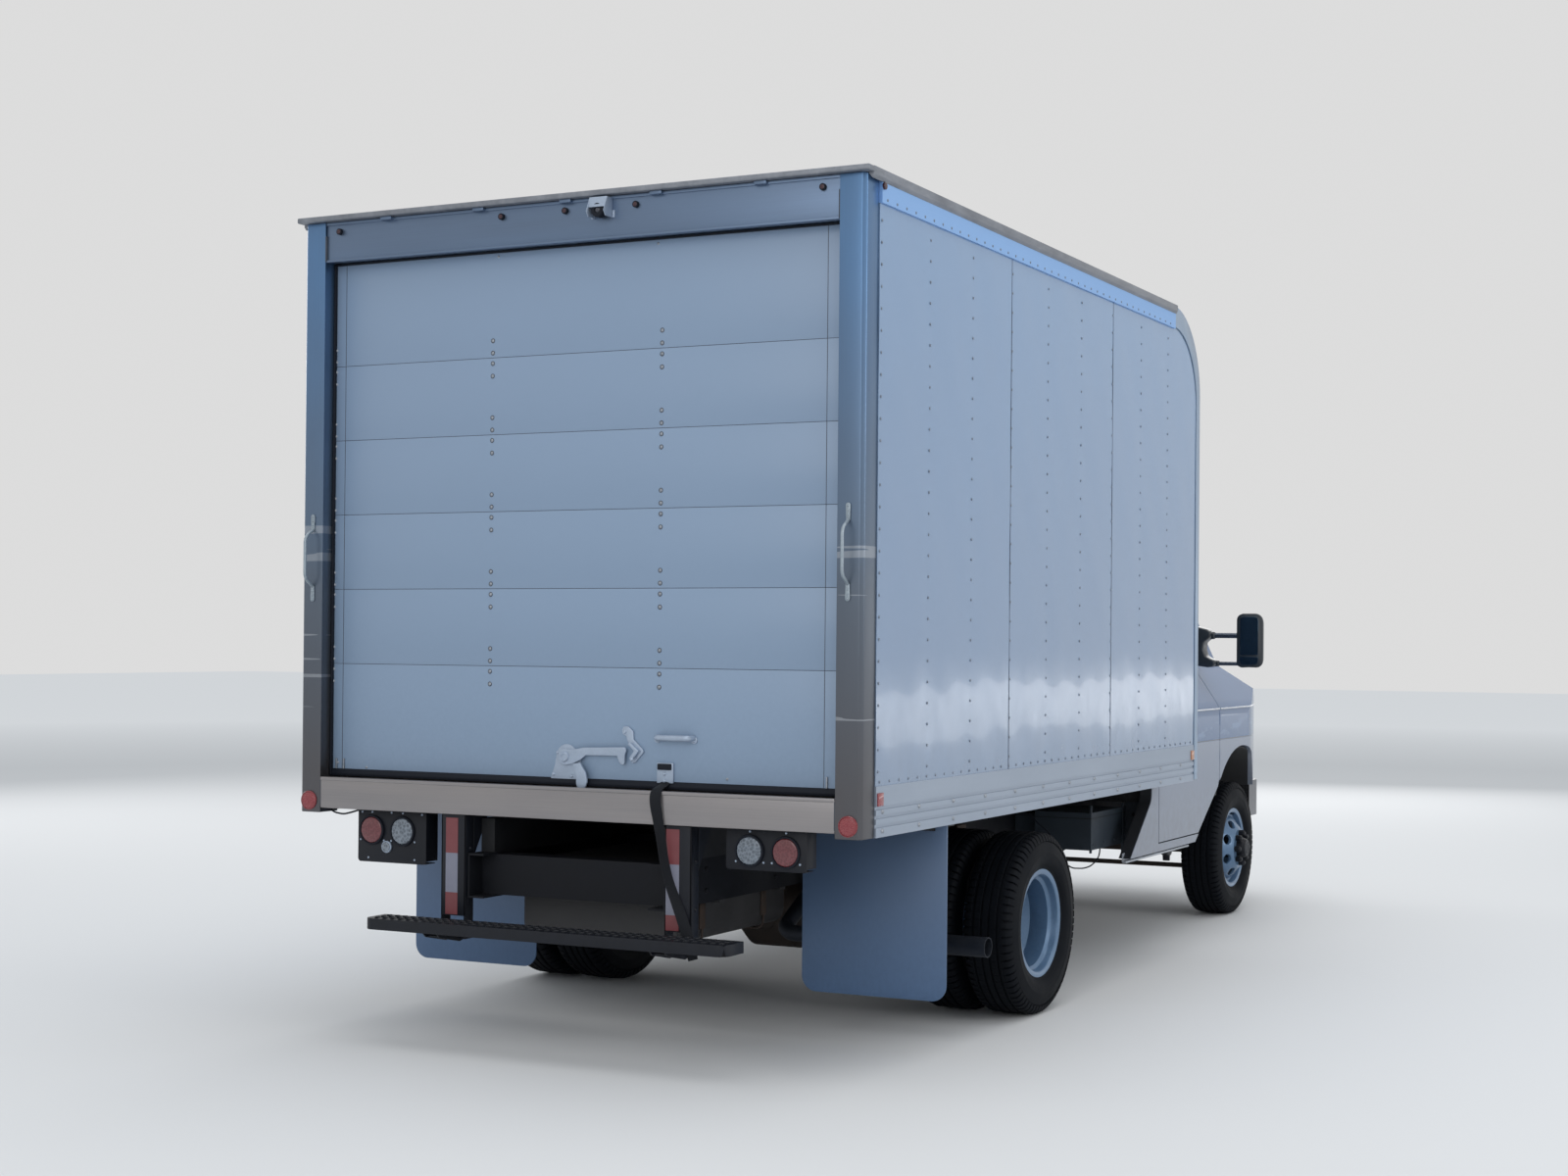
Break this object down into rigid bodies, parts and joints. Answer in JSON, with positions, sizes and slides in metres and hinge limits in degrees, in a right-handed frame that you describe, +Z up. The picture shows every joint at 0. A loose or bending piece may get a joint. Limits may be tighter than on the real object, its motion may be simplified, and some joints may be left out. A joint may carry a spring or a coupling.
{
  "type": "box truck",
  "caption": "Van-cab box truck with twin rear wheels, an aluminium load body, a closed roll-up rear door, a rear step, tow-style mirrors, cab doors and an opening bonnet.",
  "frame": {"origin": "on the ground, under the middle of the truck's box", "axes": "+Y is forward, +X is the truck's right side and +Z is up"},
  "size_m": [2.566, 6.155, 3.141],
  "materials": {
    "white_paint": "gloss",
    "bright_frame": "brushed",
    "rail_metal": "satin",
    "door_panel": "satin",
    "black_steel": "satin",
    "galvanised": "satin",
    "lamp_red": "gloss",
    "tyre_rubber": "matte",
    "rim_paint": "satin",
    "flap_white": "satin",
    "black_plastic": "matte",
    "primer_grey": "matte",
    "cast_metal": "matte",
    "floor_wood": "matte",
    "window_glass": "gloss",
    "lamp_clear": "gloss",
    "chrome_trim": "polished",
    "seat_cloth": "matte",
    "cab_grey": "matte",
    "strap_black": "matte"
  },
  "bodies": {
    "chassis": {"rear_frame": "bright_frame", "load_floor": "floor_wood", "side_walls": "white_paint", "side_rails": "rail_metal", "body_roof": "white_paint", "front_wall": "white_paint", "roll_up_door": "door_panel", "door_hardware": "galvanised", "marker_lamps": "lamp_red", "tail_lamps": "black_plastic", "rear_step": "black_steel", "mud_flaps": "flap_white", "frame_rail_right": "black_steel", "frame_rail_left": "black_steel", "crossmembers": "black_steel", "rear_axle": "cast_metal", "front_axle_beams": "cast_metal", "springs": "cast_metal", "engine": "cast_metal", "gearbox_and_shaft": "cast_metal", "fuel_tank": "black_steel", "exhaust": "galvanised", "battery_box": "primer_grey", "radiator": "black_plastic", "cab_sides": "white_paint", "cab_roof": "white_paint", "windscreen": "window_glass", "front_fenders": "white_paint", "front_panel": "white_paint", "headlamps": "lamp_clear", "grille": "chrome_trim", "cab_floor": "cab_grey", "seats": "seat_cloth", "dashboard": "black_plastic", "front_bumper": "chrome_trim", "pull_strap": "strap_black"},
    "hood": {"bonnet": "white_paint"},
    "door_right": {"cab_door_right": "white_paint", "door_glass_right": "window_glass", "mirror_right": "black_plastic"},
    "door_left": {"cab_door_left": "white_paint", "door_glass_left": "window_glass", "mirror_left": "black_plastic"},
    "steer_left": {"knuckle_left": "cast_metal"},
    "steer_right": {"knuckle_right": "cast_metal"},
    "track_rod": {"tie_rod": "cast_metal"},
    "wheel_front_right": {"tyre_front_right": "tyre_rubber", "rim_front_right": "rim_paint"},
    "wheel_front_left": {"tyre_front_left": "tyre_rubber", "rim_front_left": "rim_paint"},
    "wheels_rear_right": {"tyre_rear_right": "tyre_rubber", "rim_rear_right": "rim_paint"},
    "wheels_rear_left": {"tyre_rear_left": "tyre_rubber", "rim_rear_left": "rim_paint"}
  },
  "joints": [
    {"name": "steer_left_turn", "type": "hinge", "parent": "chassis", "child": "steer_left", "pos_m": [-0.79, 2.227, 0.372], "axis": [0, 0, 1], "range_deg": [-33, 33]},
    {"name": "steer_right_turn", "type": "hinge", "parent": "chassis", "child": "steer_right", "pos_m": [0.79, 2.227, 0.372], "axis": [0, 0, 1], "range_deg": [-33, 33]},
    {"name": "track_rod_pivot", "type": "hinge", "parent": "steer_left", "child": "track_rod", "pos_m": [-0.79, 2.112, 0.268], "axis": [0, 0, 1], "range_deg": [-33, 33]},
    {"name": "wheel_front_left_spin", "type": "hinge", "parent": "steer_left", "child": "wheel_front_left", "pos_m": [-0.865, 2.227, 0.372], "axis": [-1, 0, 0], "continuous": true},
    {"name": "wheel_front_right_spin", "type": "hinge", "parent": "steer_right", "child": "wheel_front_right", "pos_m": [0.865, 2.227, 0.372], "axis": [-1, 0, 0], "continuous": true},
    {"name": "wheels_rear_left_spin", "type": "hinge", "parent": "chassis", "child": "wheels_rear_left", "pos_m": [-0.993, -1.278, 0.372], "axis": [-1, 0, 0], "continuous": true},
    {"name": "wheels_rear_right_spin", "type": "hinge", "parent": "chassis", "child": "wheels_rear_right", "pos_m": [0.993, -1.278, 0.372], "axis": [-1, 0, 0], "continuous": true},
    {"name": "door_right_hinge", "type": "hinge", "parent": "chassis", "child": "door_right", "pos_m": [1.007, 1.801, 1], "axis": [0, 0, 1], "range_deg": [0, 65]},
    {"name": "door_left_hinge", "type": "hinge", "parent": "chassis", "child": "door_left", "pos_m": [-1.007, 1.801, 1], "axis": [0, 0, -1], "range_deg": [0, 65]},
    {"name": "hood_hinge", "type": "hinge", "parent": "chassis", "child": "hood", "pos_m": [0, 2.309, 1.3746], "axis": [1, 0, 0], "range_deg": [0, 50]}
  ],
  "couplings": [
    {"joint": "steer_right_turn", "follows": "steer_left_turn", "ratio": 1},
    {"joint": "track_rod_pivot", "follows": "steer_left_turn", "ratio": -1}
  ]
}
